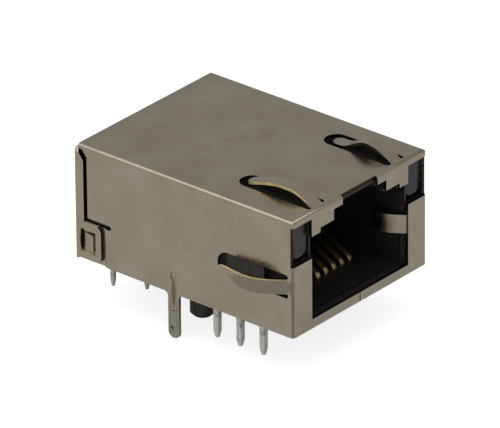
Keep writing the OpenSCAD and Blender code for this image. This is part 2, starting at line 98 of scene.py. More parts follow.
@dataclass(frozen=True)
class Mark:
    """Soft oval mark on a surface.

    Attributes:
        centre: Centre in millimetres.
        reach: Half sizes in millimetres.
        tone: Brightness factor of the mark.
        warm: Share moved from blue to red.
        share: How much of the surface it covers at its middle.
        core: Share of its size that is evenly covered.
    """

    centre: Point
    reach: Point
    tone: float = 0.6
    warm: float = 0.1
    share: float = 1.0
    core: float = 0.2


class Graph:
    """Short way to write a shader graph."""

    def __init__(self, material: bpy.types.Material) -> None:
        """Clears a material and gives it one Principled shader.

        Args:
            material: The material to fill.
        """
        material.use_nodes = True
        self.nodes = material.node_tree.nodes
        self.links = material.node_tree.links
        self.nodes.clear()
        self.output = self.nodes.new("ShaderNodeOutputMaterial")
        self.shader = self.nodes.new("ShaderNodeBsdfPrincipled")
        self.links.new(self.shader.outputs["BSDF"], self.output.inputs["Surface"])
        self.place = self.nodes.new("ShaderNodeTexCoord").outputs["Object"]

    def plug(self, value: object, socket: Socket) -> None:
        """Links a socket to an input, or sets the input to a plain value.

        Args:
            value: A socket, a number, or a colour of three numbers.
            socket: The input that takes it.
        """
        if isinstance(value, bpy.types.NodeSocket):
            self.links.new(value, socket)
        elif isinstance(value, tuple) and socket.type == "RGBA":
            socket.default_value = (*value, 1.0)
        else:
            socket.default_value = value

    def set(self, **values: object) -> None:
        """Sets or links inputs of the Principled shader by their names.

        Args:
            **values: Input names with underscores for spaces, and their values.
        """
        for name, value in values.items():
            self.plug(value, self.shader.inputs[name.replace("_", " ")])

    def stretched(self, scale: tuple[float, float, float]) -> Socket:
        """Object coordinates multiplied by a scale.

        Args:
            scale: Factor for each axis.

        Returns:
            The scaled vector.
        """
        node = self.nodes.new("ShaderNodeMapping")
        self.links.new(self.place, node.inputs["Vector"])
        node.inputs["Scale"].default_value = scale
        return node.outputs["Vector"]

    def noise(
        self, size: float, detail: float = 3.0, rough: float = 0.55, at: Socket | None = None,
    ) -> Socket:
        """Smooth noise whose features are about one size across.

        Args:
            size: Feature size in millimetres.
            detail: Number of octaves.
            rough: Share kept by each finer octave.
            at: Vector to read, or None for object coordinates.

        Returns:
            The noise value, about 0.5 on average.
        """
        node = self.nodes.new("ShaderNodeTexNoise")
        self.links.new(at or self.place, node.inputs["Vector"])
        node.inputs["Scale"].default_value = 1.0 / (size * MM)
        node.inputs["Detail"].default_value = detail
        node.inputs["Roughness"].default_value = rough
        return node.outputs["Fac"]

    def math(self, kind: str, a: object, b: object) -> Socket:
        """One Math node.

        Args:
            kind: Operation name.
            a: First operand.
            b: Second operand.

        Returns:
            The result.
        """
        node = self.nodes.new("ShaderNodeMath")
        node.operation = kind
        for value, socket in zip((a, b), node.inputs):
            self.plug(value, socket)
        return node.outputs["Value"]

    def fit(
        self, value: Socket, low: float, high: float, to_low: float = 0.0, to_high: float = 1.0,
    ) -> Socket:
        """Maps one range of values smoothly to another, and stays inside it.

        Args:
            value: What is mapped.
            low: Value that gives to_low.
            high: Value that gives to_high.
            to_low: First end of the result.
            to_high: Other end of the result.

        Returns:
            The mapped value.
        """
        node = self.nodes.new("ShaderNodeMapRange")
        node.interpolation_type = "SMOOTHSTEP"
        self.links.new(value, node.inputs["Value"])
        ends = {"From Min": low, "From Max": high, "To Min": to_low, "To Max": to_high}
        for name, number in ends.items():
            node.inputs[name].default_value = number
        return node.outputs["Result"]

    def vary(
        self, noise: Socket, mean: float, under: float, over: float,
        low: float = 0.3, high: float = 0.7,
    ) -> Socket:
        """A number that wanders round its mean with a noise.

        Args:
            noise: The noise.
            mean: Mean value.
            under: How far it falls below the mean.
            over: How far it rises above the mean.
            low: Noise value of the lowest result.
            high: Noise value of the highest result.

        Returns:
            The wandering value.
        """
        return self.fit(noise, low, high, mean - under, mean + over)

    def mix(self, share: object, a: object, b: object) -> Socket:
        """Mixes two colours.

        Args:
            share: Share of the second colour.
            a: First colour.
            b: Second colour.

        Returns:
            The mixed colour.
        """
        node = self.nodes.new("ShaderNodeMix")
        node.data_type = "RGBA"
        self.plug(share, node.inputs[0])
        self.plug(a, node.inputs[6])
        self.plug(b, node.inputs[7])
        return node.outputs[2]

    def shade(
        self, noise: Socket, a: object, b: object, low: float = 0.3, high: float = 0.7,
    ) -> Socket:
        """Mixes two colours by a noise.

        Args:
            noise: The noise.
            a: Colour where the noise is low.
            b: Colour where the noise is high.
            low: Noise value up to which the first colour is pure.
            high: Noise value from which the second colour is pure.

        Returns:
            The mixed colour.
        """
        return self.mix(self.fit(noise, low, high), a, b)

    def dip(self, dip_z: float, wander: Socket, wave: float, half: float) -> tuple[Socket, Socket]:
        """A wavy solder line.

        Args:
            dip_z: Mean height of the line in millimetres.
            wander: Noise that the line follows.
            wave: How far the line wanders up and down, in millimetres.
            half: Half the height over which it fades, in millimetres.

        Returns:
            The height less the wandering, and a value that is 1 below the line.
        """
        height = self.math("ADD", self.axis(2), self.fit(wander, 0.3, 0.7, -wave * MM, wave * MM))
        return height, self.fit(height, (dip_z + half) * MM, (dip_z - half) * MM)

    def axis(self, index: int) -> Socket:
        """One coordinate of the object coordinates, in metres.

        Args:
            index: 0 for X, 1 for Y, 2 for Z.

        Returns:
            The coordinate.
        """
        node = self.nodes.new("ShaderNodeSeparateXYZ")
        self.links.new(self.place, node.inputs["Vector"])
        return node.outputs[index]

    def patch(self, mark: Mark) -> Socket:
        """Strength of a mark, full at its centre and 0 outside its reach.

        Args:
            mark: The mark.

        Returns:
            The mark's strength.
        """
        shift = self.nodes.new("ShaderNodeVectorMath")
        shift.operation = "SUBTRACT"
        self.links.new(self.place, shift.inputs[0])
        shift.inputs[1].default_value = tuple(c * MM for c in mark.centre)
        scale = self.nodes.new("ShaderNodeVectorMath")
        scale.operation = "DIVIDE"
        self.links.new(shift.outputs["Vector"], scale.inputs[0])
        scale.inputs[1].default_value = tuple(r * MM for r in mark.reach)
        length = self.nodes.new("ShaderNodeVectorMath")
        length.operation = "LENGTH"
        self.links.new(scale.outputs["Vector"], length.inputs[0])
        return self.fit(length.outputs["Value"], 1.0, mark.core, 0.0, mark.share)

    def bump(
        self, height: Socket, depth: float, strength: float = 1.0, under: Socket | None = None,
    ) -> Socket:
        """Bump whose full height is a given depth.

        Args:
            height: Height from 0 to 1.
            depth: Depth in millimetres.
            strength: Share of the effect.
            under: Normal that it lies on.

        Returns:
            The bumped normal.
        """
        node = self.nodes.new("ShaderNodeBump")
        node.inputs["Strength"].default_value = strength
        node.inputs["Distance"].default_value = depth * MM
        self.links.new(height, node.inputs["Height"])
        if under is not None:
            self.links.new(under, node.inputs["Normal"])
        return node.outputs["Normal"]


@dataclass(frozen=True)
class Finish:
    """A surface finish that builds its material once.

    Attributes:
        name: Material name.
        color: Base colour, linear.
        rough: Mean roughness.
    """

    name: str
    color: Color
    rough: float

    def tint(self, factor: float, warm: float = 0.0) -> Color:
        """The base colour made lighter or darker, and warmer or cooler.

        Args:
            factor: Brightness factor.
            warm: Share moved from blue to red.

        Returns:
            The tinted colour.
        """
        red, green, blue = self.color
        return (red * factor * (1 + warm), green * factor, blue * factor * (1 - warm))

    def material(self) -> bpy.types.Material:
        """The finish's material, made on first use.

        A material that already has the finish's name is taken as it is.

        Returns:
            The material.
        """
        found = bpy.data.materials.get(self.name)
        if found is not None:
            return found
        made = bpy.data.materials.new(self.name)
        made.diffuse_color = (*self.color, 1.0)
        self.paint(Graph(made))
        return made

    def paint(self, g: Graph) -> None:
        """Fills the shader graph.

        Args:
            g: The graph to fill.
        """
        raise NotImplementedError


@dataclass(frozen=True)
class PlatedSheet(Finish):
    """Nickel-plated thin sheet with rolling grain and faint stains, and painted shade and
    highlights.

    Attributes:
        stains: Blotchy brownish stains.
        marks: Even marks: painted shade on folds, fingers, springs and window edges, painted
            highlights and shade on the tail ribs and the seam, and a dark spot on a tail.
        dip_z: Height of the solder line on the tails, in millimetres.
    """

    stains: tuple[Mark, ...] = ()
    marks: tuple[Mark, ...] = ()
    dip_z: float = -1.4

    # Feature sizes in millimetres.
    CLOUD, SPECK, BLOTCH, GRAIN, DENT, WAVE = 3.2, 0.35, 0.9, 0.12, 2.4, 0.7
    ROLLED = (1.0, 0.08, 1.0)  # stretches the grain along the depth
    SOLDER = (0.62, 0.59, 0.51)
    DULL_SOLDER = (0.5, 0.47, 0.4)
    RIM = (0.16, 0.06)  # end and start of the dark rim below the solder line
    RIM_SHARE = 0.8
    SOLDER_ROUGH = 0.12

    def paint(self, g: Graph) -> None:
        """Fills the shader graph.

        Args:
            g: The graph to fill.
        """
        cloud = g.noise(self.CLOUD, 4.0, 0.6)
        speck = g.noise(self.SPECK, 3.0, 0.6)
        grain = g.noise(self.GRAIN, 2.0, 0.5, g.stretched(self.ROLLED))
        color = g.shade(cloud, self.tint(0.93, 0.015), self.tint(1.06, -0.01))
        color = g.mix(g.fit(speck, 0.58, 0.72, 0.0, 0.18), color, self.tint(0.72, 0.05))
        blotch = g.fit(g.noise(self.BLOTCH, 4.0, 0.7), 0.44, 0.66)
        for mark in self.stains:
            stain = g.math("MULTIPLY", g.patch(mark), blotch)
            color = g.mix(stain, color, self.tint(mark.tone, mark.warm))
        height, dipped = g.dip(self.dip_z, g.noise(self.WAVE, 2.0, 0.5), 0.08, 0.03)
        color = g.mix(dipped, color, g.mix(blotch, self.SOLDER, self.DULL_SOLDER))
        low, high = (self.dip_z - drop for drop in self.RIM)
        rim = g.math("MULTIPLY", dipped, g.fit(height, low * MM, high * MM))
        color = g.mix(g.math("MULTIPLY", rim, self.RIM_SHARE), color, self.tint(0.3, 0.08))
        # Painted shade and painted highlights, and the dark spot on a tail.
        for mark in self.marks:
            color = g.mix(g.patch(mark), color, self.tint(mark.tone, mark.warm))
        rough = g.vary(cloud, self.rough, 0.03, 0.03, 0.25, 0.75)
        rough = g.math("ADD", rough, g.fit(speck, 0.4, 0.75, 0.0, 0.07))
        rough = g.math("ADD", rough, g.math("MULTIPLY", dipped, self.SOLDER_ROUGH))
        normal = g.bump(g.noise(self.DENT, 2.0, 0.5), 0.006, 0.6, g.bump(grain, 0.0006, 0.5))
        g.set(Base_Color=color, Metallic=1.0, Roughness=rough, Normal=normal)


@dataclass(frozen=True)
class CutEdge(Finish):
    """Bare edge where the sheet was sheared, with its drawn grain.

    Attributes:
        shine: How metallic the edge looks; the rest scatters as matt colour, which makes the bright
            edges a painted highlight.
    """

    shine: float = 1.0

    # Feature sizes in millimetres.
    DRAWN, PATCHY = 0.05, 1.1

    def paint(self, g: Graph) -> None:
        """Fills the shader graph.

        Args:
            g: The graph to fill.
        """
        drawn = g.noise(self.DRAWN, 3.0, 0.6)
        patchy = g.noise(self.PATCHY, 3.0, 0.6)
        color = g.shade(patchy, self.tint(1.08), self.tint(0.7, 0.05), 0.35)
        rough = g.vary(drawn, self.rough, 0.08, 0.1)
        normal = g.bump(drawn, 0.004, 0.7)
        g.set(Base_Color=color, Metallic=self.shine, Roughness=rough, Normal=normal)


@dataclass(frozen=True)
class Moulding(Finish):
    """Moulded thermoplastic with spark texture, flow clouds and light scuffs.

    Attributes:
        grain: Depth of the spark texture in millimetres.
        pale_streaks: Marks made paler and browner, in upright streaks.
        hollows: Deep places that catch little light.
    """

    grain: float = 0.004
    pale_streaks: tuple[Mark, ...] = ()
    hollows: tuple[Mark, ...] = ()

    # Feature sizes in millimetres.
    FLOW, SPARK, SCUFF, STREAK = 2.2, 0.09, 0.5, 0.42
    UPRIGHT = (1.0, 1.0, 0.1)  # stretches the streaks upwards
    PLASTIC_IOR = 1.5

    def paint(self, g: Graph) -> None:
        """Fills the shader graph.

        Args:
            g: The graph to fill.
        """
        flow = g.noise(self.FLOW, 3.0, 0.6)
        spark = g.noise(self.SPARK, 3.0, 0.7)
        scuff = g.fit(g.noise(self.SCUFF, 5.0, 0.75), 0.6, 0.72)
        color = g.shade(flow, self.tint(0.8), self.tint(1.15))
        color = g.mix(g.math("MULTIPLY", scuff, 0.3), color, self.tint(2.0))
        streak = g.noise(self.STREAK, 2.0, 0.5, g.stretched(self.UPRIGHT))
        streak = g.fit(streak, 0.4, 0.62, 0.25, 1.0)
        for mark in self.pale_streaks:
            worn = g.math("MULTIPLY", g.patch(mark), streak)
            color = g.mix(worn, color, self.tint(mark.tone, mark.warm))
        shine: object = 0.5
        # Painted shade: each hollow darkens the colour and turns down the gloss.
        for mark in self.hollows:
            hollow = g.patch(mark)
            color = g.mix(hollow, color, self.tint(mark.tone, mark.warm))
            shine = g.math("MULTIPLY", shine, g.math("SUBTRACT", 1.0, hollow))
        rough = g.vary(spark, self.rough, 0.05, 0.05)
        rough = g.math("ADD", rough, g.math("MULTIPLY", scuff, 0.1))
        normal = g.bump(spark, self.grain, 0.6, g.bump(flow, 0.01, 0.3))
        g.set(Base_Color=color, Roughness=rough, IOR=self.PLASTIC_IOR)
        g.set(Specular_IOR_Level=shine, Normal=normal)


@dataclass(frozen=True)
class SmokeLens(Finish):
    """Dark moulded epoxy, glossy, with a faint paler core deep inside.

    Attributes:
        dim: Sides of the lenses that stand in the shade of the shield.
    """

    dim: tuple[Mark, ...] = ()

    # Feature sizes in millimetres.
    HAZE, FINE = 1.4, 0.2
    EPOXY_IOR = 1.53
    POLISH, POLISH_ROUGH = 0.4, 0.12

    def paint(self, g: Graph) -> None:
        """Fills the shader graph.

        Args:
            g: The graph to fill.
        """
        haze = g.noise(self.HAZE, 3.0, 0.5)
        fine = g.noise(self.FINE, 3.0, 0.6)
        color = g.shade(haze, self.tint(0.75), self.tint(1.25))
        rough = g.vary(fine, self.rough, 0.04, 0.06, high=0.75)
        lit: object = 1.0
        for mark in self.dim:
            lit = g.math("MULTIPLY", lit, g.math("SUBTRACT", 1.0, g.patch(mark)))
        g.set(Base_Color=color, Roughness=rough, IOR=self.EPOXY_IOR)
        g.set(Coat_Weight=g.math("MULTIPLY", lit, self.POLISH), Coat_Roughness=self.POLISH_ROUGH)
        g.set(Specular_IOR_Level=g.math("MULTIPLY", lit, 0.5), Normal=g.bump(haze, 0.02, 0.25))


@dataclass(frozen=True)
class DippedWire(Finish):
    """Tinned wire: smooth plating above, a thicker whitish solder coat below.

    Attributes:
        dip_z: Height of the solder line in millimetres.
        coat: Colour of the solder coat, linear.
    """

    dip_z: float = -1.0
    coat: Color = (1.0, 1.0, 0.9)

    # Feature sizes in millimetres.
    LUMP, FROST = 0.45, 0.08
    RIM = (0.16, 0.02)  # end and start of the dark rim below the solder line
    RIM_SHARE = 0.9
    SOLDER_ROUGH = 0.12
    METAL_PLAIN, METAL_DIPPED = 0.5, 0.05

    def dulled(self, factor: float) -> Color:
        """The solder's colour made darker.

        Args:
            factor: Brightness factor.

        Returns:
            The darker colour.
        """
        red, green, blue = self.coat
        return (factor * red, factor * green, factor * blue)

    def paint(self, g: Graph) -> None:
        """Fills the shader graph.

        Args:
            g: The graph to fill.
        """
        lump = g.noise(self.LUMP, 3.0, 0.6)
        frost = g.noise(self.FROST, 3.0, 0.65)
        height, dipped = g.dip(self.dip_z, lump, 0.22, 0.05)
        plain = g.shade(lump, self.tint(0.82, 0.02), self.tint(1.05))
        solder = g.shade(frost, self.dulled(0.85), self.coat, 0.35, 0.65)
        solder = g.mix(g.fit(lump, 0.55, 0.63, 0.0, 0.5), solder, self.dulled(0.35))
        low, high = (self.dip_z - drop for drop in self.RIM)
        rim = g.fit(height, low * MM, high * MM, 0.0, self.RIM_SHARE)
        solder = g.mix(rim, solder, self.dulled(0.22))
        rough = g.vary(frost, self.rough, 0.05, 0.05)
        rough = g.math("ADD", rough, g.math("MULTIPLY", dipped, self.SOLDER_ROUGH))
        normal = g.bump(lump, 0.02, 0.5, g.bump(frost, 0.003, 0.5))
        metal = g.fit(dipped, 0.0, 1.0, self.METAL_PLAIN, self.METAL_DIPPED)
        color = g.mix(dipped, plain, solder)
        g.set(Base_Color=color, Metallic=metal, Roughness=rough, Normal=normal)


@dataclass(frozen=True)
class GoldSpring(Finish):
    """Gold flash over spring alloy, with the bare brown alloy back along the arms.

    Attributes:
        bare_y: Where the flash ends and the bare alloy begins, in millimetres.
    """

    bare_y: tuple[float, float] = (0.0, 0.0)

    # Feature sizes in millimetres.
    WORN, DRAWN = 0.8, 0.06
    ALONG = (1.0, 0.1, 0.4)  # stretches the drawn grain along the arms

    def paint(self, g: Graph) -> None:
        """Fills the shader graph.

        Args:
            g: The graph to fill.
        """
        worn = g.noise(self.WORN, 3.0, 0.6)
        drawn = g.noise(self.DRAWN, 2.0, 0.5, g.stretched(self.ALONG))
        color = g.shade(worn, self.tint(1.06), self.tint(0.78, 0.04), 0.35)
        start, end = self.bare_y
        color = g.mix(g.fit(g.axis(1), start * MM, end * MM), color, self.tint(0.4, 0.02))
        rough = g.vary(drawn, self.rough, 0.05, 0.07)
        normal = g.bump(drawn, 0.002, 0.5)
        g.set(Base_Color=color, Metallic=1.0, Roughness=rough, Normal=normal)


@dataclass(frozen=True)
class Sintered(Finish):
    """Pressed and fired ceramic or ferrite: fine pores, soft clouds, matt skin.

    Attributes:
        pore: Pore size in millimetres.
    """

    pore: float = 0.06

    CLOUD = 0.9  # feature size in millimetres

    def paint(self, g: Graph) -> None:
        """Fills the shader graph.

        Args:
            g: The graph to fill.
        """
        pores = g.noise(self.pore, 4.0, 0.75)
        cloud = g.noise(self.CLOUD, 3.0, 0.5)
        color = g.shade(cloud, self.tint(0.85), self.tint(1.15))
        color = g.mix(g.fit(pores, 0.62, 0.74, 0.0, 0.6), color, self.tint(0.45))
        rough = g.vary(pores, self.rough, 0.06, 0.06)
        g.set(Base_Color=color, Roughness=rough, Normal=g.bump(pores, 0.006, 0.6))


@dataclass(frozen=True)
class EnamelWire(Finish):
    """Copper under clear enamel."""

    SHADE = 0.3  # feature size in millimetres

    def paint(self, g: Graph) -> None:
        """Fills the shader graph.

        Args:
            g: The graph to fill.
        """
        shade = g.noise(self.SHADE, 3.0, 0.6)
        color = g.shade(shade, self.tint(0.85, 0.03), self.tint(1.12))
        rough = g.vary(shade, self.rough, 0.04, 0.06, 0.2, 0.8)
        g.set(Base_Color=color, Metallic=1.0, Roughness=rough, Coat_Weight=0.6, Coat_Roughness=0.15)
        g.set(Normal=g.bump(shade, 0.004, 0.4))


@dataclass(frozen=True)
class Laminate(Finish):
    """Solder resist over woven glass, with the weave faintly showing."""

    CLOUD = 1.5  # feature size in millimetres
    WEAVE = 0.35  # threads of the weave, as a wave scale per millimetre
    WOBBLE = 1.2

    def paint(self, g: Graph) -> None:
        """Fills the shader graph.

        Args:
            g: The graph to fill.
        """
        weave = []
        for direction in ("X", "Z"):
            wave = g.nodes.new("ShaderNodeTexWave")
            wave.bands_direction = direction
            g.links.new(g.place, wave.inputs["Vector"])
            wave.inputs["Scale"].default_value = self.WEAVE / MM
            wave.inputs["Distortion"].default_value = self.WOBBLE
            weave.append(wave.outputs["Fac"])
        cloth = g.math("MAXIMUM", *weave)
        cloud = g.noise(self.CLOUD, 3.0, 0.6)
        color = g.shade(cloth, self.tint(0.85), self.tint(1.15), 0.4, 1.0)
        color = g.mix(g.fit(cloud, 0.4, 0.7, 0.0, 0.4), color, self.tint(0.7))
        rough = g.vary(cloud, self.rough, 0.05, 0.05)
        g.set(Base_Color=color, Roughness=rough, Normal=g.bump(cloth, 0.008, 0.5))


def both(*marks: Mark) -> tuple[Mark, ...]:
    """Adds the mirror image of each mark on the other side of the jack.

    Args:
        *marks: Marks on the left side.

    Returns:
        The marks of both sides.
    """
    mirrored = []
    for mark in marks:
        x, y, z = mark.centre
        mirrored.append(replace(mark, centre=(-x, y, z)))
    return marks + tuple(mirrored)


def in_mm(length: float) -> float:
    """A length of the frame in millimetres, to the nearest micron.

    Args:
        length: The length in metres.

    Returns:
        The length in millimetres.
    """
    return round(length / MM, 3)


# Main places in millimetres, from the frame. The left side is at -SIDE.
PLASTIC_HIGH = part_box("housing")[1]
SIDE = in_mm(PLASTIC_HIGH.x) + PLAY + SHEET_T
TOP = in_mm(PLASTIC_HIGH.z) + PLAY + SHEET_T
FRONT = in_mm(CAD_BOX[0].y)
REAR = in_mm(CAD_BOX[1].y)
FINGER_Z = 4.5  # middle height of the side fingers and the ground springs
TAIL_X = -SIDE - SHEET_T
TAIL_Z = 0.2  # height where the rib of a tail is strongest

TOP_STAINS = (
    Mark((-3.0, 3.0, TOP), (1.7, 1.0, 2.0), 0.62, 0.14, 0.5),
    Mark((2.0, 0.3, TOP), (2.0, 0.9, 2.0), 0.62, 0.14, 0.5),
    Mark((0.0, 1.9, TOP), (1.6, 0.9, 2.0), 0.62, 0.14, 0.4),
)
# Painted dark reflection along the upright fold between each side and the front.
FRONT_FOLD_SHADE = Mark((-SIDE, FRONT, 3.0), (0.3, 0.3, 9.0), 0.34, 0.16, 0.85, 0.4)
# Painted shade on each side finger.
SIDE_FINGER_SHADE = Mark((-SIDE - 0.7, FRONT + 2.7, FINGER_Z), (1.7, 3.6, 1.02), 0.66, 0.0, 1.0, 0.75)
# Painted shade on each ground spring deep inside the plug opening.
GROUND_SPRING_SHADE = Mark((4.0 - SIDE, FRONT + 3.2, FINGER_Z), (2.3, 3.1, 1.9), 0.12, 0.05, 1.0, 0.3)
# Painted highlight on one side of each tail's rib, and painted shade on its other side and on its
# head.
RIB_HIGHLIGHT = Mark((TAIL_X, 1.62, TAIL_Z), (0.4, 0.2, 1.7), 1.22, 0.0, 0.9, 0.5)
RIB_SHADE = Mark((TAIL_X, 1.1, TAIL_Z + 0.1), (0.4, 0.26, 1.9), 0.42, 0.12, 0.9, 0.45)
RIB_HEAD_SHADE = Mark((TAIL_X, 1.3, TAIL_Z + 1.5), (0.45, 0.3, 0.4), 0.5, 0.12, 0.9, 0.6)
# Painted shade along the rear edge of each side window, and along the joggle in front of each latch
# tab.
WINDOW_EDGE_SHADE = Mark((0.15 - SIDE, REAR - 0.77, 1.8), (0.3, 0.22, 1.2), 0.15, 0.2, 1.0, 0.7)
TAB_SHADE = Mark((0.1 - SIDE, REAR - 3.2, 1.7), (0.3, 0.15, 2.0), 0.6, 0.1, 1.0, 0.5)
# A dark spot low on the left tail.
TAIL_DARK_SPOT = Mark((-SIDE, 1.45, -3.09), (0.2, 0.17, 0.34), 0.08, 0.0, 0.95, 0.4)
# Painted highlight and painted shade on the two sides of the seam low on the front.
SEAM_HIGHLIGHT = Mark((0.14, FRONT, 0.3), (0.12, 0.4, 0.8), 1.45, 0.0, 1.0, 0.5)
SEAM_SHADE = Mark((-0.1, FRONT, 0.3), (0.1, 0.4, 0.8), 0.5, 0.1, 1.0, 0.4)
# Painted shade along the rear edge of each window in the rear cover.
COVER_WINDOW_SHADE = Mark((0.08 - SIDE, REAR - 0.64, 1.8), (0.2, 0.1, 1.15), 0.12, 0.2, 1.0, 0.8)
# Paler, browner upright streaks on the moulding inside each side slot.
SLOT_STREAKS = Mark((0.5 - SIDE, FRONT + 5.7, FINGER_Z), (0.9, 2.6, 1.5), 2.2, 0.22, 1.0, 0.7)
# Painted shade, with less gloss, under each side finger, beside the plug opening and on its sill.
FINGER_HOLLOW_SHADE = Mark((1.2 - SIDE, FRONT + 2.0, FINGER_Z), (0.9, 1.7, 1.5), 0.5, 0.0, 0.6, 0.8)
OPENING_SIDE_SHADE = Mark((2.3 - SIDE, FRONT + 0.4, 3.6), (0.6, 0.8, 3.2), 0.6, 0.0, 0.7, 0.8)
OPENING_SILL_SHADE = Mark((0.0, FRONT + 0.4, 0.6), (7.6, 0.8, 0.8), 0.6, 0.0, 0.8, 0.85)
LENS_SHADE = Mark((0.2 - SIDE, FRONT + 0.4, 6.7), (0.75, 1.2, 2.8), share=0.9, core=0.45)

SHEET = PlatedSheet(
    "nickel_plate", (0.60, 0.54, 0.42), 0.25,
    stains=TOP_STAINS,
    marks=both(
        FRONT_FOLD_SHADE, SIDE_FINGER_SHADE, GROUND_SPRING_SHADE, RIB_HIGHLIGHT, RIB_SHADE, RIB_HEAD_SHADE,
        WINDOW_EDGE_SHADE, TAB_SHADE,
    ) + (TAIL_DARK_SPOT, SEAM_HIGHLIGHT, SEAM_SHADE),
)
COVER = PlatedSheet(
    "nickel_plate_rear", (0.61, 0.54, 0.415), 0.28, marks=both(COVER_WINDOW_SHADE),
)
# Cut edges in two copies: darkened as painted shade, and bright yellow as a painted highlight on
# edges that face up or stand high.
SHADED_EDGE = CutEdge("shaded_cut_edge", (0.06, 0.044, 0.024), 0.45)
HIGHLIT_EDGE = CutEdge("highlit_cut_edge", (1.0, 0.82, 0.46), 0.3, shine=0.35)
BLACK = Moulding(
    "moulded_black", (0.03, 0.03, 0.028), 0.36,
    pale_streaks=both(SLOT_STREAKS), hollows=both(FINGER_HOLLOW_SHADE, OPENING_SIDE_SHADE) + (OPENING_SILL_SHADE,),
)
CARRIER = Moulding("moulded_carrier", (0.016, 0.016, 0.015), 0.42)
BASE = Moulding("moulded_base", (0.02, 0.02, 0.019), 0.46)
LENS = SmokeLens("smoke_epoxy", (0.019, 0.019, 0.018), 0.22, dim=both(LENS_SHADE))
TINNED = DippedWire("dipped_wire", (0.84, 0.83, 0.75), 0.3)
GOLD = GoldSpring("gold_spring", (0.83, 0.6, 0.27), 0.36, bare_y=(FRONT + 4.0, FRONT + 5.7))
FERRITE = Sintered("coated_ferrite", (0.035, 0.036, 0.038), 0.6)
RESIST = Laminate("green_resist", (0.02, 0.075, 0.035), 0.4)
# The next two have the names of their slots, whose plain materials are there
# already, so the hidden pieces that use them keep the plain slot colour.
COPPER = EnamelWire("enamelled_copper", (0.5, 0.2, 0.08), 0.3)
CERAMIC = Sintered("chip_ceramic", (0.4, 0.32, 0.2), 0.5, pore=0.04)


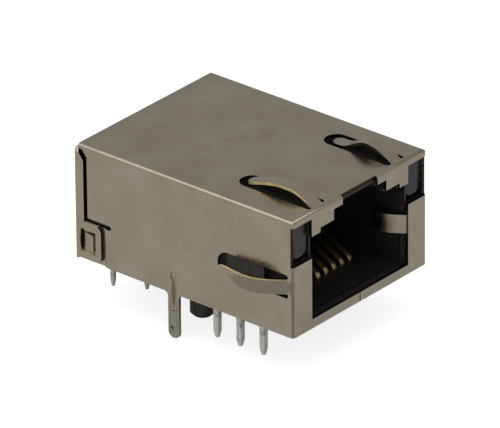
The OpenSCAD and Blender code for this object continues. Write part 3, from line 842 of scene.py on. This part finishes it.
@dataclass
class Dressed:
    """A CAD node given rounded edges and its finish.

    Attributes:
        node: Name of the CAD node that it stands for.
        slot: Its material slot in the record; not used.
        finish: Finish of its surface.
        rounding: Radius of the rounded edges in millimetres; 0 leaves them.
        segments: Steps in each rounded edge.
        sheet: Sheet thickness in millimetres, where cut edges are split off.
        highlight_above: Height in millimetres above which upward edges get the painted highlight.
        obj: The made object.
    """

    node: str
    slot: Slot
    finish: Finish
    rounding: float = 0.03
    segments: int = 2
    sheet: float = 0.0
    highlight_above: float = 0.0
    obj: bpy.types.Object | None = field(default=None, init=False)

    MERGE = 1e-7  # vertices closer than this, in metres, are one
    SHARP = math.radians(28)  # edges that turn more are rounded
    FLAT = math.radians(0.4)  # faces that turn less are joined
    SMOOTH = math.radians(50)  # edges that turn less are shaded smooth
    SHORTEST = 0.2  # shortest edge that is rounded, against the rounding
    THIN = 2.2  # a ray through the sheet ends within this many thicknesses
    STEP_IN = 0.004  # how far inside the face the ray starts, in millimetres
    BOARD_GAP = 0.1  # edges lower than this, in millimetres, keep the plating
    LID_GAP = 0.06  # clearance over the moulding, with the sheet, in millimetres
    UPWARD = 0.9  # least upward share of the normal of an edge with the painted highlight

    def build(self) -> bpy.types.Object:
        """Makes the dressed piece and puts it in the node's place.

        Returns:
            The new object.
        """
        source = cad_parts[self.node]
        mesh = bpy.data.meshes.new(self.node + "_form")
        bm = bmesh.new()
        bm.from_mesh(source.data)
        bmesh.ops.remove_doubles(bm, verts=bm.verts[:], dist=self.MERGE)
        bmesh.ops.recalc_face_normals(bm, faces=bm.faces[:])
        for face in bm.faces:
            face.material_index = 0
        bmesh.ops.dissolve_limit(
            bm, angle_limit=self.FLAT, use_dissolve_boundaries=False,
            verts=bm.verts[:], edges=bm.edges[:],
        )
        if self.sheet:
            self.split_cut_edges(bm)
        if self.rounding:
            self.round_edges(bm)
        for face in bm.faces:
            face.smooth = True
        for edge in bm.edges:
            edge.smooth = len(edge.link_faces) == 2 and edge.calc_face_angle(0.0) < self.SMOOTH
        bm.to_mesh(mesh)
        bm.free()
        mesh.materials.append(self.finish.material())
        if self.sheet:
            mesh.materials.append(SHADED_EDGE.material())
            mesh.materials.append(HIGHLIT_EDGE.material())
        self.obj = bpy.data.objects.new(self.node + "_dressed", mesh)
        bpy.context.scene.collection.objects.link(self.obj)
        weighted = self.obj.modifiers.new("even_normals", "WEIGHTED_NORMAL")
        weighted.keep_sharp = True
        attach(self.obj, ROOT)
        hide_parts(self.node)
        return self.obj

    def split_cut_edges(self, bm: bmesh.types.BMesh) -> None:
        """Marks the faces where the sheet was sheared.

        A ray that goes straight in from a plated face soon leaves the other side
        of the sheet. From a cut edge it doesn't.

        Args:
            bm: The mesh to mark.
        """
        tree = BVHTree.FromBMesh(bm)
        reach = self.THIN * self.sheet * MM
        wall_x, _, plastic_top = PLASTIC_HIGH
        lid = plastic_top + (self.sheet + self.LID_GAP) * MM
        for face in bm.faces:
            centre = sum(self.largest_triangle(face), Vector()) / 3
            start = centre - face.normal * self.STEP_IN * MM
            hit = tree.ray_cast(start, -face.normal, reach)
            if hit[0] is not None or centre.z <= self.BOARD_GAP * MM:
                continue
            # Edges high up or facing up get the painted highlight, the rest the painted shade.
            outside = abs(centre.x) > wall_x and centre.z > self.highlight_above * MM
            gets_highlight = centre.z > lid or (outside and face.normal.z > self.UPWARD)
            face.material_index = 2 if gets_highlight else 1

    @staticmethod
    def largest_triangle(face: bmesh.types.BMFace) -> list[Vector]:
        """Splits a face into triangles and finds the largest.

        Args:
            face: The face.

        Returns:
            The triangle's corners.
        """
        points = [v.co.copy() for v in face.verts]
        triangles = [[points[i] for i in t] for t in tessellate_polygon([points])]
        return max(triangles, key=lambda t: (t[1] - t[0]).cross(t[2] - t[0]).length)

    def round_edges(self, bm: bmesh.types.BMesh) -> None:
        """Rounds every sharp edge a little.

        Args:
            bm: The mesh to round.
        """
        width = self.rounding * MM
        edges = [
            e for e in bm.edges
            if len(e.link_faces) == 2
            and e.calc_face_angle(0.0) > self.SHARP
            and e.calc_length() > self.SHORTEST * width
        ]
        bmesh.ops.bevel(
            bm, geom=edges, offset=width, offset_type="OFFSET", affect="EDGES",
            segments=self.segments, profile=0.5, material=-1, clamp_overlap=True,
        )
        bmesh.ops.remove_doubles(bm, verts=bm.verts[:], dist=self.MERGE)


@dataclass(frozen=True)
class Lamp:
    """A square softbox that points at the jack.

    Attributes:
        name: Lamp name.
        offset: Its place from the middle of the jack, in metres.
        size: Side of the box in metres.
        light: Irradiance at the jack.
        shine_only: Shows only in glossy surfaces and lights nothing else.
    """

    name: str
    offset: Point
    size: float
    light: float
    shine_only: bool = False


@dataclass(frozen=True)
class LongLens:
    """A long lens from the front left, a little above the jack.

    Attributes:
        azimuth: Angle round the jack from its front, in degrees.
        elevation: Angle above the board, in degrees.
        roll: Turn about the line of sight, in degrees.
        distance: Distance from the jack in metres.
        left: How far the aim lies left of the middle, in millimetres.
        down: How far the aim lies below the middle, in millimetres.
        focal: Focal length in millimetres.
        sensor: Sensor width in millimetres.
    """

    azimuth: float = -49.86
    elevation: float = 27.07
    roll: float = -0.52
    distance: float = 0.699
    left: float = 0.428213
    down: float = 0.590099
    focal: float = 621.1
    sensor: float = 36.0


class Studio:
    """Floor, surrounding light, lamps and camera."""

    FLOOR_HALF = 0.6
    PAPER = (0.86, 0.86, 0.86, 1.0)
    PAPER_GLOW = 0.8  # extra light of the paper that only the lens sees
    SURROUND, BACKDROP = 0.3, 1.0
    LIT_POINT = (0.0, 0.0, 5.0)  # in millimetres, as the next
    VIEW_POINT = (0.0, -0.3, 5.0)
    NEAR, FAR = 0.01, 10.0
    LAMPS = (
        Lamp("overhead", (-0.10, 0.05, 0.55), 0.5, 0.6),
        Lamp("left_fill", (-0.5, -0.1, 0.28), 0.3, 0.28),
        Lamp("rear_left", (-0.225, 0.285, 0.345), 0.42, 0.3, shine_only=True),
    )

    def build(self) -> None:
        """Makes the whole studio."""
        scene = bpy.context.scene
        scene.view_settings.view_transform = "Standard"
        scene.view_settings.look = "None"
        self.world()
        self.floor()
        for lamp in self.LAMPS:
            self.hang(lamp)
        self.camera(LongLens())

    def world(self) -> None:
        """Sets grey light all round, where the lens itself sees plain white."""
        world = bpy.data.worlds.new("studio")
        bpy.context.scene.world = world
        world.use_nodes = True
        tree = world.node_tree
        tree.nodes.clear()
        out = tree.nodes.new("ShaderNodeOutputWorld")
        mix = tree.nodes.new("ShaderNodeMixShader")
        path = tree.nodes.new("ShaderNodeLightPath")
        shades = []
        for value in (self.SURROUND, self.BACKDROP):
            shade = tree.nodes.new("ShaderNodeBackground")
            shade.inputs["Color"].default_value = (value, value, value, 1.0)
            shades.append(shade)
        tree.links.new(path.outputs["Is Camera Ray"], mix.inputs["Fac"])
        for shade, socket in zip(shades, mix.inputs[1:]):
            tree.links.new(shade.outputs["Background"], socket)
        tree.links.new(mix.outputs["Shader"], out.inputs["Surface"])

    def floor(self) -> None:
        """Lays white paper at the tips of the tails, clear when seen from below."""
        mesh = bpy.data.meshes.new("floor")
        z = CAD_BOX[0].z
        h = self.FLOOR_HALF
        mesh.from_pydata([(-h, -h, z), (h, -h, z), (h, h, z), (-h, h, z)], [], [(0, 1, 2, 3)])
        obj = bpy.data.objects.new("floor", mesh)
        bpy.context.scene.collection.objects.link(obj)
        mesh.materials.append(self.paper())

    def paper(self) -> bpy.types.Material:
        """Paper that glows for the lens alone and is clear from its back.

        Returns:
            The material.
        """
        material = bpy.data.materials.new("white_paper")
        material.use_nodes = True
        tree = material.node_tree
        tree.nodes.clear()
        new, link = tree.nodes.new, tree.links.new
        out = new("ShaderNodeOutputMaterial")
        add = new("ShaderNodeAddShader")
        mix = new("ShaderNodeMixShader")
        paper = new("ShaderNodeBsdfDiffuse")
        glow = new("ShaderNodeEmission")
        clear = new("ShaderNodeBsdfTransparent")
        path = new("ShaderNodeLightPath")
        side = new("ShaderNodeNewGeometry")
        lift, hide = new("ShaderNodeMath"), new("ShaderNodeMath")
        paper.inputs["Color"].default_value = self.PAPER
        lift.operation = hide.operation = "MULTIPLY"
        lift.inputs[1].default_value = self.PAPER_GLOW
        link(path.outputs["Is Camera Ray"], lift.inputs[0])
        link(lift.outputs["Value"], glow.inputs["Strength"])
        link(path.outputs["Is Camera Ray"], hide.inputs[0])
        link(side.outputs["Backfacing"], hide.inputs[1])
        link(paper.outputs["BSDF"], add.inputs[0])
        link(glow.outputs["Emission"], add.inputs[1])
        link(hide.outputs["Value"], mix.inputs["Fac"])
        link(add.outputs["Shader"], mix.inputs[1])
        link(clear.outputs["BSDF"], mix.inputs[2])
        link(mix.outputs["Shader"], out.inputs["Surface"])
        return material

    def hang(self, lamp: Lamp) -> None:
        """Hangs a lamp, with the power that gives its light at the jack.

        Args:
            lamp: The lamp.
        """
        offset = Vector(lamp.offset)
        data = bpy.data.lights.new(lamp.name, "AREA")
        data.shape = "SQUARE"
        data.size = lamp.size
        data.energy = lamp.light * math.pi * offset.length_squared
        obj = bpy.data.objects.new(lamp.name, data)
        obj.location = Vector(self.LIT_POINT) * MM + offset
        obj.rotation_mode = "QUATERNION"
        obj.rotation_quaternion = (-offset).to_track_quat("-Z", "Y")
        obj.visible_diffuse = not lamp.shine_only
        bpy.context.scene.collection.objects.link(obj)

    def camera(self, lens: LongLens) -> None:
        """Sets the camera.

        Args:
            lens: Where it stands and how it sees.
        """
        azimuth, elevation = math.radians(lens.azimuth), math.radians(lens.elevation)
        back = Vector((
            math.sin(azimuth) * math.cos(elevation),
            -math.cos(azimuth) * math.cos(elevation),
            math.sin(elevation),
        ))
        turn = (-back).to_track_quat("-Z", "Y") @ Quaternion((0, 0, 1), math.radians(lens.roll))
        right, up = turn @ Vector((1, 0, 0)), turn @ Vector((0, 1, 0))
        aim = (Vector(self.VIEW_POINT) - right * lens.left - up * lens.down) * MM
        data = bpy.data.cameras.new("camera")
        data.sensor_width = lens.sensor
        data.lens = lens.focal
        data.clip_start, data.clip_end = self.NEAR, self.FAR
        obj = bpy.data.objects.new("camera", data)
        obj.location = aim + back * lens.distance
        obj.rotation_mode = "QUATERNION"
        obj.rotation_quaternion = turn
        bpy.context.scene.collection.objects.link(obj)
        bpy.context.scene.camera = obj


class Jack:
    """The jack's dressed pieces."""

    def __init__(self) -> None:
        """Lists every piece with its finish."""
        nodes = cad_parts
        self.pieces: list[Dressed] = [
            Dressed("front_shield", Slot.NICKEL, SHEET, sheet=SHEET_T, highlight_above=4.0),
            Dressed("rear_shield", Slot.NICKEL, COVER, sheet=SHEET_T),
            Dressed("housing", Slot.PLASTIC, BLACK, 0.04),
            Dressed("contact_carrier", Slot.CARRIER, CARRIER, 0.02),
            Dressed("circuit_board", Slot.LAMINATE, RESIST, 0.02),
            Dressed("pin_base", Slot.BASE, BASE, 0.04),
        ]
        families: tuple[tuple[str, Slot, Finish, float], ...] = (
            ("light_", Slot.LENS, LENS, 0.06),
            ("lead_", Slot.TINNED, TINNED, 0.03),
            ("contact_", Slot.GOLD, GOLD, 0.04),
            ("signal_pin_", Slot.TINNED, TINNED, 0.03),
            ("ferrite_ring_", Slot.FERRITE, FERRITE, 0.05),
            ("winding_", Slot.COPPER, COPPER, 0.0),
            ("line_capacitor", Slot.CERAMIC, CERAMIC, 0.05),
            ("termination_resistors", Slot.CERAMIC, CERAMIC, 0.03),
        )
        listed = {piece.node for piece in self.pieces}
        for start, slot, finish, rounding in families:
            for name in sorted(n for n in nodes if n.startswith(start) and n not in listed):
                self.pieces.append(Dressed(name, slot, finish, rounding))
                listed.add(name)
        for name in sorted(set(nodes) - listed):
            LOG.warning("node %s has no finish of its own", name)

    def build(self) -> None:
        """Makes every piece."""
        for piece in self.pieces:
            obj = piece.build()
            LOG.info("%s: %d faces", obj.name, len(obj.data.polygons))


def main() -> None:
    """Builds the jack and the studio."""
    logging.basicConfig(level=logging.INFO, format="%(message)s")
    Jack().build()
    Studio().build()


if __name__ == "__main__":
    main()
